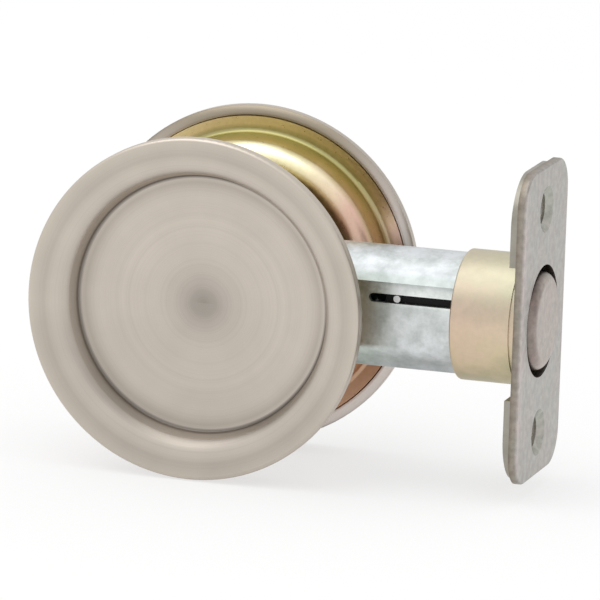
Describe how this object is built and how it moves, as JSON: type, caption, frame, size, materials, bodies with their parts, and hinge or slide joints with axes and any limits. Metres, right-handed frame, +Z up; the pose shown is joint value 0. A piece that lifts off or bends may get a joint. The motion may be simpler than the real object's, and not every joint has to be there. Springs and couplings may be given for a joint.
{
  "type": "pocket door pull",
  "caption": "Round pocket door pull set: flush cups with dished floors joined through the door, and a tubular latch whose sprung round plunger is gripped at the door's edge",
  "frame": {"origin": "centre of the door's cross bore, halfway through the door", "axes": "+X towards the door's edge and out of the faceplate, -Y out of the front cup, +Z up"},
  "size_m": [0.0928, 0.0392, 0.063],
  "materials": {
    "satin_nickel": "satin nickel, ring brushed",
    "yellow_chromate": "yellow chromated steel",
    "bright_zinc": "bright zinc plate",
    "grey_zinc": "plain zinc plate",
    "black_nylon": "moulded",
    "spring_steel": "drawn wire"
  },
  "bodies": {
    "door_set": {"front_cup": "satin_nickel", "rear_cup": "satin_nickel", "faceplate": "satin_nickel", "front_liner": "yellow_chromate", "rear_liner": "yellow_chromate", "latch_collar": "yellow_chromate", "latch_case": "bright_zinc", "latch_tail": "bright_zinc", "post_by_latch": "bright_zinc", "post_by_tail_end": "bright_zinc", "screw_by_latch": "bright_zinc", "screw_by_tail_end": "bright_zinc", "backplate": "grey_zinc", "pull_spring": "spring_steel"},
    "plunger": {"edge_pull": "satin_nickel", "pull_slide": "black_nylon", "guide_pin": "bright_zinc"}
  },
  "joints": [
    {"name": "edge_pull_slide", "type": "slide", "parent": "door_set", "child": "plunger", "axis": [1, 0, 0], "range_m": [-0.002, 0.011], "deforming": ["pull_spring"]}
  ]
}
